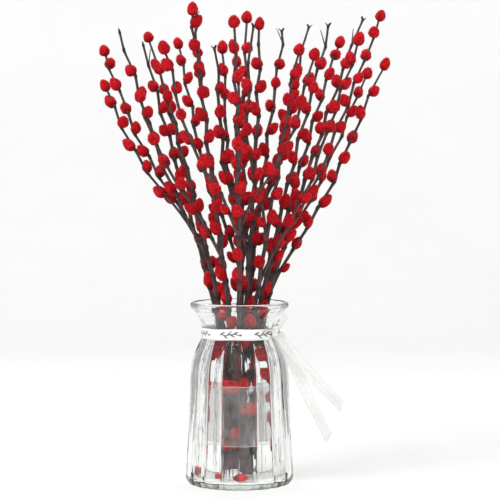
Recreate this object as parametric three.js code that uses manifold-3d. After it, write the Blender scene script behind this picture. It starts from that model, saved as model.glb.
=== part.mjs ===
// A bunch of red pussy willow branches standing in a fluted glass vase, with a clear film
// sleeve round the stems and a ribbon tied round the neck of the vase.
// Units are millimetres, +Z is up, the front of the vase faces -Y, and the origin is the
// middle of the underside of the vase.

import * as THREE from "three";
import { mergeVertices } from "three/addons/utils/BufferGeometryUtils.js";
import Module from "manifold-3d";

const wasm = await Module();
wasm.setup();

// ---------------------------------------------------------------- driving dimensions

const VASE_HEIGHT = 208;
const VASE_FLOOR = 6; // thickness of glass under the stems
const FLUTE_COUNT = 18;
const FLUTE_DEPTH = 2.2; // of the groove between two flutes, halfway up
const FLUTE_TOP = 170; // the grooves end here, in points at the ribbon
const VASE_COLUMNS = 2 * FLUTE_COUNT; // one on each crest and one in each groove

// Radius of the flute crests and of the inside, from the floor up.
const VASE_OUTSIDE = [
  [55.5, 0], [60.2, 3.5], [62, 12], [60.6, 40], [57.5, 100], [56, 130], [50.8, 152], [43.8, 167],
  [42.2, 175], [44.2, 184], [54, 202], [56, 205.5], [54.8, VASE_HEIGHT],
];
const VASE_INSIDE = [
  [53, VASE_FLOOR], [57, 13], [56, 40], [53, 100], [51.5, 130], [46.6, 152], [40.5, 167],
  [39, 175], [40.8, 184], [49.8, 201], [51.8, 206], [52.3, VASE_HEIGHT],
];

const GAP = 0.3; // left between pieces that touch

const SLEEVE = { inside: 34.2, outside: 35, low: 46, high: 114, columns: 30 };

const RIBBON_WIDTH = 12.5;
const RIBBON_THICK = 0.8;
const BAND_LOW = 167.2;
const KNOT = { angle: -32, distance: 48.9, height: 174.5, deep: 4.3, wide: 7, tall: 6.3 };
// The bow loop stands in front of the collar, facing outwards at this angle: how far out its
// middle is, how far along the side, how high, and how steeply the loop runs upwards.
const BOW = {
  angle: -58, out: 53, along: 16.5, height: 188.7, rise: 38.7, halfLength: 13, halfDepth: 3.8,
};
// Middle line of each tail, across and up, and how far it lies in front of the axis.
const TAILS = {
  ribbon_tail_long: { front: 26.5, line: [[46, 166.5], [57, 146], [80, 98], [101.5, 55]] },
  ribbon_tail_short: { front: 31.5, line: [[48, 166.5], [67, 144], [91, 117], [116, 92]] },
};

const STEM_SIDES = 4;
const STEM_BASE_RADIUS = 2.6; // the thinnest; the thickest is a third more
const STEM_TIP_RADIUS = 1.25;
const STEM_TAPER = 2; // power of the height: the stems thin out mostly near their tips
const STEM_FOOT = VASE_FLOOR + GAP;
// The stems at the back stand on the floor. The others were cut shorter by up to this much.
const STANDING_DEPTH = 0.4;
const FOOT_LIFT = { least: 7, most: 22 };

// The bunch is bound to this radius in the vase, and spreads like a fan above the neck.
const FAN = { bound: 29, spread: 0.455, bend: 170, softness: 22 };
const TWIST = { atFoot: 0.42, top: 176 }; // the stems lean round the axis below the neck
const FAN_HEIGHT = 300; // from the rim of the vase to the tips
const FAN_SWAY = 9; // sideways bow of the longest stems at their tips
const NODE_KINK = 1.7; // how far a stem steps aside at each node
const NODE_PITCH = 22.4; // shortest distance between nodes
const NODE_PITCH_RANGE = 6;
const NODE_TURN = THREE.MathUtils.degToRad(144); // from one catkin to the next

const CATKIN = { length: 17, width: 11.8, sides: 4 };
const CATKIN_TILT = { least: 0.3, most: 0.58, atTip: 0.12 };
const CATKIN_LONGER = { least: 0.88, range: 0.24, atRim: 1.08 }; // shares of the length
const CATKIN_WIDER = { least: 0.92, range: 0.16 }; // shares of the width
const CATKIN_SHRINK = 0.25; // catkins are shorter by this share at the top of the bunch
// What a catkin tries where its place is taken: a smaller size, or a turn about the stem.
const CATKIN_SIZES = [1, 0.88, 0.76];
const CATKIN_TURNS = [0, 0.6, -0.6, 1.2, -1.2, 1.8, -1.8, 2.4, -2.4, 3.1];
const CATKIN_CLEARANCE = 0.8;
const CATKIN_SEAT = 0.6; // how far off the middle of the stem a catkin starts, in its radii
const TIP_CATKIN_SEAT = 5; // how far a stem runs up inside the catkin at its tip
const CATKINS_KEPT = { inVase: 0.6, above: 0.95 }; // share of the nodes that kept a catkin
// Round a catkin, three balls stand for it: place along it, and radius, as shares.
const CATKIN_BALLS = [[0.28, 0.46], [0.52, 0.5], [0.78, 0.36]];

const PRONG = { base: 0.9, tip: 0.4, length: 20, tilt: 0.35 };

// Each branch: its place across and in depth as shares of the bunch's radius, the height
// of its tip, how it ends, and, for a side shoot, which branch it grows from.
const CATKIN_TIP = "catkin";
const BARE_TIP = "bare";
const FORKED_TIP = "forked";
const BRANCHES = [
  [0.02, 0.8, 486, CATKIN_TIP],
  [-0.54, 0.44, 513, CATKIN_TIP],
  [0.23, 0.46, 522, FORKED_TIP],
  [0.59, 0.46, 506, CATKIN_TIP],
  [-0.62, 0.12, 501, FORKED_TIP],
  [-0.3, 0.14, 536, FORKED_TIP],
  [0.04, 0.14, 532, CATKIN_TIP],
  [0.67, 0.12, 530, FORKED_TIP],
  [-0.5, -0.18, 470, CATKIN_TIP],
  [0.17, -0.18, 519, CATKIN_TIP],
  [0.5, -0.18, 519, FORKED_TIP],
  [-0.27, -0.5, 530, CATKIN_TIP],
  [0.38, -0.5, 488, CATKIN_TIP],
  [0.0, -0.87, 513, CATKIN_TIP],
  [-0.36, 0.76, 508, CATKIN_TIP, 0],
  [0.42, 0.72, 529, BARE_TIP, 0],
  [-0.14, 0.46, 499, CATKIN_TIP, 2],
  [0.86, 0.42, 469, CATKIN_TIP, 3],
  [-0.89, 0.14, 494, CATKIN_TIP, 4],
  [0.36, 0.14, 455, CATKIN_TIP, 6],
  [0.99, 0.08, 476, CATKIN_TIP, 7],
  [-0.74, -0.2, 512, BARE_TIP, 8],
  [-0.97, -0.2, 451, CATKIN_TIP, 8],
  [-0.16, -0.18, 494, BARE_TIP, 9],
  [0.8, -0.24, 529, CATKIN_TIP, 10],
  [-0.7, -0.5, 438, CATKIN_TIP, 11],
  [0.04, -0.52, 515, BARE_TIP, 12],
  [0.72, -0.54, 498, CATKIN_TIP, 12],
  [-0.42, -0.82, 486, CATKIN_TIP, 13],
  [0.42, -0.8, 480, CATKIN_TIP, 13],
];
// A side shoot leaves its branch above this height, and parts from it over the spread.
const FORK = { least: 212, range: 60, spread: 130, radius: 0.8 };

// Columns that are kept free of catkins, as room for one more stem: in the mouth and neck
// of the vase, and in the sleeve.
const FREE_COLUMNS = [
  new THREE.Box3(new THREE.Vector3(-6, 26, 138), new THREE.Vector3(4, 38, 214)),
  new THREE.Box3(new THREE.Vector3(-7, 26, 40), new THREE.Vector3(1, 33, 120)),
];

// Catkins that fell to the floor of the vase: across, depth and the way they point.
const FALLEN = [[1, -45, 10], [-22, -36, 125], [-47, 3, 100]];

// ---------------------------------------------------------------- materials

function material(colour, roughness, extra = {}) {
  return new THREE.MeshStandardMaterial({ color: colour, roughness, metalness: 0, ...extra });
}

const glass = () => material(0xdfe6e2, 0.05, { transparent: true, opacity: 0.35 });
const film = () => material(0xd9dcdc, 0.35, { transparent: true, opacity: 0.5 });
const ribbon = () => material(0xf5f3ee, 0.7);
const willow = () => material(0x8f1420, 0.85);
const catkin = () => material(0xc40f1e, 0.95);

const bunch = new THREE.Group();

function addPiece(name, geometry, look) {
  const piece = new THREE.Mesh(geometry, look());
  piece.name = name;
  bunch.add(piece);
}

// ---------------------------------------------------------------- helpers

// The same number between 0 and 1 for the same whole-number keys.
function chance(...keys) {
  let hash = 2166136261;
  for (const key of keys) {
    hash = Math.imul(hash ^ key, 16777619);
    hash = Math.imul(hash ^ (hash >>> 13), 1540483477);
  }
  return ((hash ^ (hash >>> 15)) >>> 0) / 4294967296;
}

// A solid of revolution about Z from [radius, height] points.
function turned(points, columns) {
  const profile = points.map(([radius, height]) => new THREE.Vector2(radius, height));
  return new THREE.LatheGeometry(profile, columns).rotateX(Math.PI / 2);
}

function radiusAt(profile, height) {
  for (let i = 1; i < profile.length; i += 1) {
    const [lowRadius, low] = profile[i - 1];
    const [highRadius, high] = profile[i];
    if (height <= high) {
      const share = Math.max(0, (height - low) / (high - low));
      return lowRadius + (highRadius - lowRadius) * share;
    }
  }
  return profile[profile.length - 1][0];
}

function toSolid(geometry) {
  const bare = geometry.clone();
  bare.deleteAttribute("normal");
  bare.deleteAttribute("uv");
  const merged = mergeVertices(bare);
  const mesh = new wasm.Mesh({
    numProp: 3,
    vertProperties: merged.attributes.position.array,
    triVerts: Uint32Array.from(merged.index.array),
  });
  return new wasm.Manifold(mesh);
}

function toGeometry(solid) {
  const mesh = solid.getMesh();
  const geometry = new THREE.BufferGeometry();
  geometry.setAttribute("position", new THREE.BufferAttribute(mesh.vertProperties, 3));
  geometry.setIndex(new THREE.BufferAttribute(mesh.triVerts, 1));
  geometry.computeVertexNormals();
  return geometry;
}

// ---------------------------------------------------------------- vase

// Share of the full groove depth at a height: none above the points of the flutes, and
// less at the foot, where the scallops run out under the base.
function fluteShare(height) {
  const top = THREE.MathUtils.smoothstep(FLUTE_TOP - height, 0, 30);
  const foot = 0.5 + 0.5 * THREE.MathUtils.smoothstep(height, 0, 20);
  return top * foot;
}

function vaseGeometry() {
  const outline = [[0, 0], ...VASE_OUTSIDE, ...[...VASE_INSIDE].reverse(), [0, VASE_FLOOR]];
  const geometry = turned(outline, VASE_COLUMNS);
  const places = geometry.attributes.position;
  const rows = outline.length;
  for (let i = 0; i < places.count; i += 1) {
    const row = i % rows;
    const column = Math.floor(i / rows);
    const outside = row >= 1 && row <= VASE_OUTSIDE.length;
    if (outside && column % 2 === 1) {
      const radius = Math.hypot(places.getX(i), places.getY(i));
      const cut = 1 - (FLUTE_DEPTH * fluteShare(places.getZ(i))) / radius;
      places.setXY(i, places.getX(i) * cut, places.getY(i) * cut);
    }
  }
  return geometry;
}

// ---------------------------------------------------------------- sleeve and ribbon

function sleeveGeometry() {
  const { inside, outside, low, high, columns } = SLEEVE;
  return turned([[outside, low], [outside, high], [inside, high], [inside, low], [outside, low]], columns);
}

// The band follows the neck, with the same columns, a gap outside the glass.
function bandGeometry() {
  const heights = [BAND_LOW, BAND_LOW + RIBBON_WIDTH];
  const inner = heights.map((height) => [radiusAt(VASE_OUTSIDE, height) + GAP, height]);
  const outer = inner.map(([radius, height]) => [radius + RIBBON_THICK, height]);
  return turned([...outer, ...inner.reverse(), outer[0]], VASE_COLUMNS);
}

function knotGeometry() {
  const turn = THREE.MathUtils.degToRad(KNOT.angle);
  return new THREE.SphereGeometry(1, 10, 6)
    .scale(KNOT.deep, KNOT.wide, KNOT.tall)
    .translate(KNOT.distance, 0, KNOT.height)
    .rotateZ(turn);
}

// The outline of a strip that follows a flat line of points, one thickness wide.
function stripShape(line, width, samples) {
  const curve = new THREE.SplineCurve(line.map(([across, up]) => new THREE.Vector2(across, up)));
  const left = [];
  const right = [];
  for (let i = 0; i <= samples; i += 1) {
    const place = curve.getPoint(i / samples);
    const along = curve.getTangent(i / samples);
    const aside = new THREE.Vector2(-along.y, along.x).multiplyScalar(width / 2);
    left.push(place.clone().add(aside));
    right.push(place.clone().sub(aside));
  }
  return new THREE.Shape([...left, ...right.reverse()]);
}

// One loop of the bow: a flattened ring that runs up beside the collar, facing outwards.
function bowGeometry() {
  const outer = new THREE.Shape();
  outer.absellipse(0, 0, BOW.halfLength, BOW.halfDepth, 0, Math.PI * 2);
  const inner = new THREE.Path();
  inner.absellipse(0, 0, BOW.halfLength - RIBBON_THICK, BOW.halfDepth - RIBBON_THICK, 0, Math.PI * 2);
  outer.holes.push(inner);
  const turn = THREE.MathUtils.degToRad(BOW.angle);
  const rise = THREE.MathUtils.degToRad(BOW.rise);
  const outwards = new THREE.Vector3(Math.cos(turn), Math.sin(turn), 0);
  const sideways = new THREE.Vector3(-outwards.y, outwards.x, 0);
  const run = sideways.clone().multiplyScalar(Math.cos(rise)).setZ(Math.sin(rise));
  const across = run.clone().cross(outwards);
  const middle = outwards.clone().multiplyScalar(BOW.out)
    .addScaledVector(sideways, BOW.along)
    .setZ(BOW.height);
  return new THREE.ExtrudeGeometry(outer, { depth: RIBBON_WIDTH, bevelEnabled: false, curveSegments: 10 })
    .translate(0, 0, -RIBBON_WIDTH / 2)
    .applyMatrix4(new THREE.Matrix4().makeBasis(run, outwards, across))
    .translate(middle.x, middle.y, middle.z);
}

function tailGeometry({ front, line }) {
  const shape = stripShape(line, RIBBON_WIDTH, 6);
  return new THREE.ExtrudeGeometry(shape, { depth: RIBBON_THICK, bevelEnabled: false })
    .rotateX(Math.PI / 2)
    .translate(0, -front, 0);
}

// ---------------------------------------------------------------- branches

// Radius of the bunch at a height: constant in the vase, then a straight-sided fan.
function fanRadius(height) {
  const rise = Math.log1p(Math.exp((height - FAN.bend) / FAN.softness));
  return FAN.bound + FAN.spread * FAN.softness * rise;
}

// The nodes of one branch, from foot to tip: place, stem radius and the side that the
// catkin is on. The stem is straight from one node to the next.
function branchNodes(index) {
  const [across, depth, tip, , parent] = BRANCHES[index];
  const fork = parent === undefined ? null : forkNode(index, parent);
  const lift = FOOT_LIFT.least + (FOOT_LIFT.most - FOOT_LIFT.least) * chance(index, 10);
  const foot = fork ? fork.place.z : STEM_FOOT + (depth > STANDING_DEPTH ? 0 : lift);
  const heights = [foot];
  let height = foot + NODE_PITCH * (0.5 + chance(index, 1));
  while (height < tip - NODE_PITCH * 0.7) {
    heights.push(height);
    height += NODE_PITCH + NODE_PITCH_RANGE * chance(index, 2, heights.length);
  }
  heights.push(tip);
  const baseRadius = fork ? FORK.radius * fork.radius : STEM_BASE_RADIUS * (1 + chance(index, 3) / 3);
  const swayAngle = 2 * Math.PI * chance(index, 4);
  const firstSide = 2 * Math.PI * chance(index, 5);
  const reach = Math.hypot(across, depth);
  const bearing = Math.atan2(depth, across);
  const nodes = heights.map((level, k) => {
    const share = ((level - foot) / (tip - foot)) ** STEM_TAPER;
    const above = Math.max(0, level - VASE_HEIGHT) / FAN_HEIGHT;
    const side = firstSide + k * NODE_TURN + 0.5 * (chance(index, 6, k) - 0.5);
    const kink = NODE_KINK * (0.25 + Math.min(1, 2 * above));
    const sway = FAN_SWAY * above * above;
    const turn = bearing + (TWIST.atFoot * Math.max(0, TWIST.top - level)) / TWIST.top;
    const out = reach * fanRadius(level);
    return {
      place: new THREE.Vector3(
        out * Math.cos(turn) + sway * Math.cos(swayAngle) - kink * Math.cos(side),
        out * Math.sin(turn) + sway * Math.sin(swayAngle) - kink * Math.sin(side),
        level,
      ),
      radius: baseRadius + (STEM_TIP_RADIUS - baseRadius) * share,
      side,
    };
  });
  if (fork) {
    const shift = fork.place.clone().sub(nodes[0].place);
    for (const { place } of nodes) {
      const parted = THREE.MathUtils.smoothstep(place.z - foot, 0, FORK.spread);
      place.addScaledVector(shift, 1 - parted);
    }
  }
  return nodes;
}

// The node of a branch that a side shoot grows from.
function forkNode(index, parent) {
  const height = FORK.least + FORK.range * chance(index, 12);
  return branchNodes(parent).find(({ place }) => place.z > height);
}

// A rod with one ring of vertices at each node, moved there and scaled to its radius.
function stemGeometry(nodes) {
  const last = nodes.length - 1;
  const geometry = new THREE.CylinderGeometry(1, 1, 1, STEM_SIDES, last).rotateX(Math.PI / 2);
  const places = geometry.attributes.position;
  for (let i = 0; i < places.count; i += 1) {
    const { place, radius } = nodes[Math.round((places.getZ(i) + 0.5) * last)];
    places.setXYZ(
      i,
      place.x + radius * places.getX(i),
      place.y + radius * places.getY(i),
      place.z,
    );
  }
  return geometry;
}

function ballsOf({ base, axis, length, width }) {
  return CATKIN_BALLS.map(([along, share]) => ({
    centre: base.clone().addScaledVector(axis, along * length),
    radius: share * width,
  }));
}

function hitsVase(ball) {
  const { centre, radius } = ball;
  const reach = Math.hypot(centre.x, centre.y) + radius;
  const low = centre.z - radius;
  const high = centre.z + radius;
  const atRim = low < VASE_HEIGHT + CATKIN_CLEARANCE;
  const besideSleeve = high > SLEEVE.low && low < SLEEVE.high;
  return (
    low < VASE_FLOOR + CATKIN_CLEARANCE ||
    (atRim && reach > radiusAt(VASE_INSIDE, centre.z) - CATKIN_CLEARANCE) ||
    (besideSleeve && reach > SLEEVE.inside - CATKIN_CLEARANCE / 2) ||
    FREE_COLUMNS.some((column) => column.distanceToPoint(centre) < radius)
  );
}

function hitsAny(ball, others) {
  return others.some(
    (other) =>
      ball.centre.distanceTo(other.centre) < ball.radius + other.radius + CATKIN_CLEARANCE,
  );
}

// Balls along a stem, close enough together to stand for it in the clearance test.
function stemBalls(nodes) {
  const balls = [];
  for (let k = 1; k < nodes.length; k += 1) {
    const from = nodes[k - 1];
    const to = nodes[k];
    const count = Math.ceil(from.place.distanceTo(to.place) / 5);
    for (let i = 0; i <= count; i += 1) {
      balls.push({
        centre: from.place.clone().lerp(to.place, i / count),
        radius: from.radius + (to.radius - from.radius) * (i / count),
      });
    }
  }
  return balls;
}

// The catkin at a node, turned about the stem or shrunk until it is clear of everything
// that belongs to other branches, or null where no place is free.
function placeCatkin(index, k, nodes, others) {
  const node = nodes[k];
  const atTip = k === nodes.length - 1;
  const from = nodes[atTip ? k - 1 : k].place;
  const along = nodes[atTip ? k : k + 1].place.clone().sub(from).normalize();
  const lean = CATKIN_TILT.least + (CATKIN_TILT.most - CATKIN_TILT.least) * chance(index, 11, k);
  const tilt = atTip ? CATKIN_TILT.atTip : lean;
  const above = Math.max(0, node.place.z - VASE_HEIGHT) / FAN_HEIGHT;
  const longer = CATKIN_LONGER.least + CATKIN_LONGER.range * chance(index, 7, k);
  const grown = longer * (CATKIN_LONGER.atRim - CATKIN_SHRINK * above);
  for (const size of CATKIN_SIZES) {
    for (const turn of CATKIN_TURNS) {
      const side = node.side + turn;
      const out = new THREE.Vector3(Math.cos(side), Math.sin(side), 0);
      const axis = out.clone()
        .multiplyScalar(Math.sin(tilt))
        .addScaledVector(along, Math.cos(tilt))
        .normalize();
      const base = atTip
        ? node.place.clone().addScaledVector(along, -TIP_CATKIN_SEAT)
        : node.place.clone().addScaledVector(out, CATKIN_SEAT * node.radius);
      const catkinHere = {
        base,
        axis,
        length: CATKIN.length * size * grown,
        width: CATKIN.width * size * (CATKIN_WIDER.least + CATKIN_WIDER.range * chance(index, 8, k)),
      };
      const balls = ballsOf(catkinHere);
      if (!balls.some((ball) => hitsVase(ball) || hitsAny(ball, others))) {
        return catkinHere;
      }
    }
  }
  return null;
}

// An egg of four sides, from its narrow foot in the stem to its blunt tip.
function catkinGeometry({ base, axis, length, width }) {
  const profile = [[0, 0], [0.5, 0.34], [0.46, 0.68], [0, 1]];
  const points = profile.map(([radius, along]) => new THREE.Vector2(radius * width, along * length));
  const upright = new THREE.Vector3(0, 1, 0);
  const turn = new THREE.Quaternion().setFromUnitVectors(upright, axis);
  return new THREE.LatheGeometry(points, CATKIN.sides)
    .applyQuaternion(turn)
    .translate(base.x, base.y, base.z);
}

// A short second prong beside a forked tip.
function prongGeometry(nodes) {
  const { place, side } = nodes[nodes.length - 2];
  return new THREE.CylinderGeometry(PRONG.tip, PRONG.base, PRONG.length, STEM_SIDES)
    .translate(0, PRONG.length / 2, 0)
    .rotateX(Math.PI / 2)
    .rotateY(PRONG.tilt)
    .rotateZ(side)
    .translate(place.x, place.y, place.z);
}

// Some nodes have lost their catkin, most of them in the vase. Bare and forked tips end in
// two nodes without one.
function hasCatkin(index, k, nodes) {
  const [, , , tip] = BRANCHES[index];
  const bareNodes = tip === CATKIN_TIP ? 0 : 2;
  if (k === 0 || k >= nodes.length - bareNodes) {
    return false;
  }
  const kept = nodes[k].place.z < VASE_HEIGHT ? CATKINS_KEPT.inVase : CATKINS_KEPT.above;
  return k === nodes.length - 1 || chance(index, 9, k) < kept;
}

// Every branch takes its catkins in turn, tip first. A branch and its side shoots are
// joined into one solid.
function addBranches() {
  const grown = BRANCHES.map((_, index) => branchNodes(index));
  const stems = grown.map(stemBalls);
  const placed = grown.map(() => []);
  const families = new Map();
  grown.forEach((nodes, index) => {
    const [, , , tip, parent = index] = BRANCHES[index];
    const solids = [toSolid(stemGeometry(nodes))];
    const reachable = stems.filter((_, other) => other !== index).flat();
    for (let k = nodes.length - 1; k > 0; k -= 1) {
      if (!hasCatkin(index, k, nodes)) {
        continue;
      }
      const others = [...reachable, ...placed.filter((_, other) => other !== index).flat()];
      const found = placeCatkin(index, k, nodes, others);
      if (found) {
        placed[index].push(...ballsOf(found));
        solids.push(toSolid(catkinGeometry(found)));
      }
    }
    if (tip === FORKED_TIP) {
      solids.push(toSolid(prongGeometry(nodes)));
    }
    families.set(parent, [...(families.get(parent) ?? []), ...solids]);
  });
  for (const [index, solids] of families) {
    const whole = solids.reduce((joined, solid) => joined.add(solid));
    addPiece(`branch_${String(index + 1).padStart(2, "0")}`, toGeometry(whole), willow);
  }
}

function fallenGeometry([across, depth, degrees]) {
  const turn = THREE.MathUtils.degToRad(degrees);
  const axis = new THREE.Vector3(Math.cos(turn), Math.sin(turn), 0);
  const lift = VASE_FLOOR + GAP + CATKIN.width / 2;
  const base = new THREE.Vector3(across, depth, lift).addScaledVector(axis, -CATKIN.length / 2);
  return catkinGeometry({ base, axis, length: CATKIN.length, width: CATKIN.width });
}

// ---------------------------------------------------------------- assembly

addPiece("vase", vaseGeometry(), glass);
addPiece("film_sleeve", sleeveGeometry(), film);
addPiece("ribbon_band", bandGeometry(), ribbon);
addPiece("ribbon_knot", knotGeometry(), ribbon);
addPiece("ribbon_bow_loop", bowGeometry(), ribbon);
for (const [name, tail] of Object.entries(TAILS)) {
  addPiece(name, tailGeometry(tail), ribbon);
}
addBranches();
FALLEN.forEach((place, index) => {
  addPiece(`fallen_catkin_${index + 1}`, fallenGeometry(place), catkin);
});

export default bunch;
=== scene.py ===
import math

import bpy
import numpy as np
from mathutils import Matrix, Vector


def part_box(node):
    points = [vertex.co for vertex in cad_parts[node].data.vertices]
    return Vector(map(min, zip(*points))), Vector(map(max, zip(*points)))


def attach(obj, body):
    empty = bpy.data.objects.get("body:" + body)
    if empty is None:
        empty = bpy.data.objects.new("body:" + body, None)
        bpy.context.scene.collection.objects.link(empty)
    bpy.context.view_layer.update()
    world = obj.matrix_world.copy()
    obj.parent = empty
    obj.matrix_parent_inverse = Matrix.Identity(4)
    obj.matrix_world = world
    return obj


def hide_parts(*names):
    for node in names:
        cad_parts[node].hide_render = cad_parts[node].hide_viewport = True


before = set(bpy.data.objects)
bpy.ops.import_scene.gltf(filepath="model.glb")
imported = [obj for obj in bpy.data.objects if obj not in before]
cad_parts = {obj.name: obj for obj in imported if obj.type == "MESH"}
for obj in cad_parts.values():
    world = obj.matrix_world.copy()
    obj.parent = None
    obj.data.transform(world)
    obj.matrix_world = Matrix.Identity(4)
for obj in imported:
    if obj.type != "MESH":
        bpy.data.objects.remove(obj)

bl_info = {
    "name": "Willow bunch in a vase",
    "version": (1, 0, 0),
    "blender": (4, 5, 0),
    "location": "View3D > Sidebar > Willow",
    "description": "Builds a bunch of red pussy willow in a fluted glass vase with a ribbon",
    "category": "Add Mesh",
}

MM = 0.001
TURN = 2 * math.pi
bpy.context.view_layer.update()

# ---------------------------------------------------------------- vase, millimetres

# Radius and height along the glass, from the middle of the underside, up the outside over
# the crests of the flutes to the rim, and down the inside to the middle of the floor.
UNDERSIDE = [[0, 1.4], [20, 1.4], [40, 1.5], [48, 1.1], [52, 0.1]]
OUTSIDE = [
    [55.5, 0], [58.6, 1.2], [60.8, 4.5], [61.9, 9], [62, 14], [61.4, 26], [60.6, 40], [59.1, 70],
    [57.5, 100], [56.7, 118], [55.9, 130], [54.1, 141], [51, 151.5], [47, 160], [43.8, 167],
    [42.4, 172.5], [42.3, 177], [44.1, 184], [47.8, 191], [51.2, 197], [53.4, 200],
    [55.7, 201.8], [56.5, 204.4], [55.9, 206.8],
]
INSIDE = [
    [54.2, 208], [52.3, 207.3], [51.3, 205.4], [50.9, 203], [49.2, 200], [45.5, 193], [41.3, 185],
    [39.4, 178], [39.2, 173], [40.6, 167], [43.6, 159.5], [46.8, 151.5], [49.9, 141], [51.5, 130],
    [53, 100], [54.5, 70], [56, 40], [56.8, 20], [56.8, 13], [55.4, 8.6], [51, 6.6], [30, 6.1],
    [0, 6],
]
# The grooves fade out over the last stretch below their top. At the underside they have
# only a share of their depth, and they reach all of it at the foot's height.
FLUTE_TOP, FLUTE_FADE = 171.0, 34.0
FLUTE_FOOT, FOOT_SHARE = 18.0, 0.8

# ---------------------------------------------------------------- branches, millimetres

VASE_RIM, VASE_FLOOR = 208.0, 6.0
STEM_FOOT = VASE_FLOOR + 0.3
STANDING_DEPTH = 0.4
FOOT_LIFT_LEAST, FOOT_LIFT_MOST = 7.0, 22.0
STEM_BASE_RADIUS, STEM_TIP_RADIUS, STEM_TAPER = 2.6, 1.25, 2.0
FAN_BOUND, FAN_SPREAD, FAN_BEND, FAN_SOFTNESS = 29.0, 0.455, 170.0, 22.0
FAN_HEIGHT = 300.0
TWIST_AT_FOOT, TWIST_TOP = 0.42, 176.0
FAN_SWAY = 9.0
NODE_KINK = 1.7
NODE_PITCH, NODE_PITCH_RANGE = 22.4, 6.0
NODE_TURN = math.radians(144)
# Clear radius inside the vase at a few heights, as the branches were laid out to.
VASE_CLEAR = np.array([
    [53, 6], [57, 13], [56, 40], [53, 100], [51.5, 130], [46.6, 152], [40.5, 167], [39, 175],
    [40.8, 184], [49.8, 201], [51.8, 206], [52.3, 208],
])
SLEEVE_INSIDE, SLEEVE_LOW, SLEEVE_HIGH = 34.2, 46.0, 114.0
# Columns that are kept free of catkins, in the neck of the vase and in the sleeve.
FREE_COLUMNS = np.array([[[-6, 26, 138], [4, 38, 214]], [[-7, 26, 40], [1, 33, 120]]], float)
CATKIN_LENGTH, CATKIN_WIDTH = 17.0, 11.8
CATKIN_TILT_LEAST, CATKIN_TILT_MOST, CATKIN_TILT_TIP = 0.3, 0.58, 0.12
# A catkin's length and width differ by chance from a least share over a range. Catkins are
# a little longer at the rim, and shrink by a share up to the top of the bunch.
LONGER_LEAST, LONGER_RANGE, LONGER_AT_RIM, CATKIN_SHRINK = 0.88, 0.24, 1.08, 0.25
WIDER_LEAST, WIDER_RANGE = 0.92, 0.16
CATKIN_CLEARANCE = 0.8
CATKIN_SEAT, TIP_CATKIN_SEAT = 0.6, 5.0
KEPT_IN_VASE, KEPT_ABOVE = 0.6, 0.95
# Three balls stand for a catkin: place along it, and radius, as shares.
CATKIN_BALLS = np.array([[0.28, 0.46], [0.52, 0.5], [0.78, 0.36]])
BALL_STEP = 5.0
# What a catkin tries where its place is taken: a smaller size, or a turn about the stem.
SIZES = (1.0, 0.88, 0.76)
TURNS = (0.0, 0.6, -0.6, 1.2, -1.2, 1.8, -1.8, 2.4, -2.4, 3.1)

# Each branch: place across and in depth as shares of the bunch's radius, height of its
# tip, how it ends, and, for a side shoot, which branch it grows from.
BRANCHES = [
    (0.02, 0.8, 486, "catkin", None),
    (-0.54, 0.44, 513, "catkin", None),
    (0.23, 0.46, 522, "forked", None),
    (0.59, 0.46, 506, "catkin", None),
    (-0.62, 0.12, 501, "forked", None),
    (-0.3, 0.14, 536, "forked", None),
    (0.04, 0.14, 532, "catkin", None),
    (0.67, 0.12, 530, "forked", None),
    (-0.5, -0.18, 470, "catkin", None),
    (0.17, -0.18, 519, "catkin", None),
    (0.5, -0.18, 519, "forked", None),
    (-0.27, -0.5, 530, "catkin", None),
    (0.38, -0.5, 488, "catkin", None),
    (0.0, -0.87, 513, "catkin", None),
    (-0.36, 0.76, 508, "catkin", 0),
    (0.42, 0.72, 529, "bare", 0),
    (-0.14, 0.46, 499, "catkin", 2),
    (0.86, 0.42, 469, "catkin", 3),
    (-0.89, 0.14, 494, "catkin", 4),
    (0.36, 0.14, 455, "catkin", 6),
    (0.99, 0.08, 476, "catkin", 7),
    (-0.74, -0.2, 512, "bare", 8),
    (-0.97, -0.2, 451, "catkin", 8),
    (-0.16, -0.18, 494, "bare", 9),
    (0.8, -0.24, 529, "catkin", 10),
    (-0.7, -0.5, 438, "catkin", 11),
    (0.04, -0.52, 515, "bare", 12),
    (0.72, -0.54, 498, "catkin", 12),
    (-0.42, -0.82, 486, "catkin", 13),
    (0.42, -0.8, 480, "catkin", 13),
]
# A side shoot leaves its branch above this height, and parts from it over the spread.
FORK_LEAST, FORK_RANGE, FORK_SPREAD, FORK_RADIUS = 212.0, 60.0, 130.0, 0.8
# Catkins on the floor of the vase: across, depth and the way they point, in degrees.
FALLEN = [(1, -45, 10), (-22, -36, 125), (-47, 3, 100)]

# ---------------------------------------------------------------- ribbon, millimetres

BAND_LOW = 167.2
KNOT_ANGLE, KNOT_DISTANCE, KNOT_HEIGHT = math.radians(-32), 48.9, 174.5
# The bow loop faces outwards at this angle: how far out its middle is, how far along the
# side, how high, and how steeply it runs upwards.
BOW_ANGLE, BOW_OUT, BOW_ALONG = math.radians(-58), 53.0, 16.5
BOW_HEIGHT, BOW_RISE = 188.7, math.radians(38.7)
# The loop from the knot and back. Each row is its middle, along the loop, across it and
# outwards, and then the way and share of the ribbon's width there, which is gathered at
# the knot.
BOW_ROWS = [
    [-4.5, 12, -7.5, 0.34, 0.12, 0.1], [-8, 8, -5, 0.3, 0.5, 0.15],
    [-11.5, 2.5, -2.5, 0.15, 0.9, 0.1], [-13, 0, 0.6, 0.12, 1, 0],
    [-10.5, -0.4, 3.2, 0.06, 1, 0], [-3, -0.4, 4.4, 0, 1, -0.05],
    [5, -0.4, 4.2, 0, 1, -0.05], [11.5, 0, 2.8, -0.05, 1, 0],
    [13.4, 0.6, 0.2, -0.08, 1, 0], [11, 1.4, -2.4, 0, 1, 0],
    [5, 4, -3.4, 0.15, 0.9, 0], [0, 8.5, -5, 0.3, 0.5, 0.1],
    [-3, 12, -7.5, 0.34, 0.12, 0.1],
]
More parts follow.
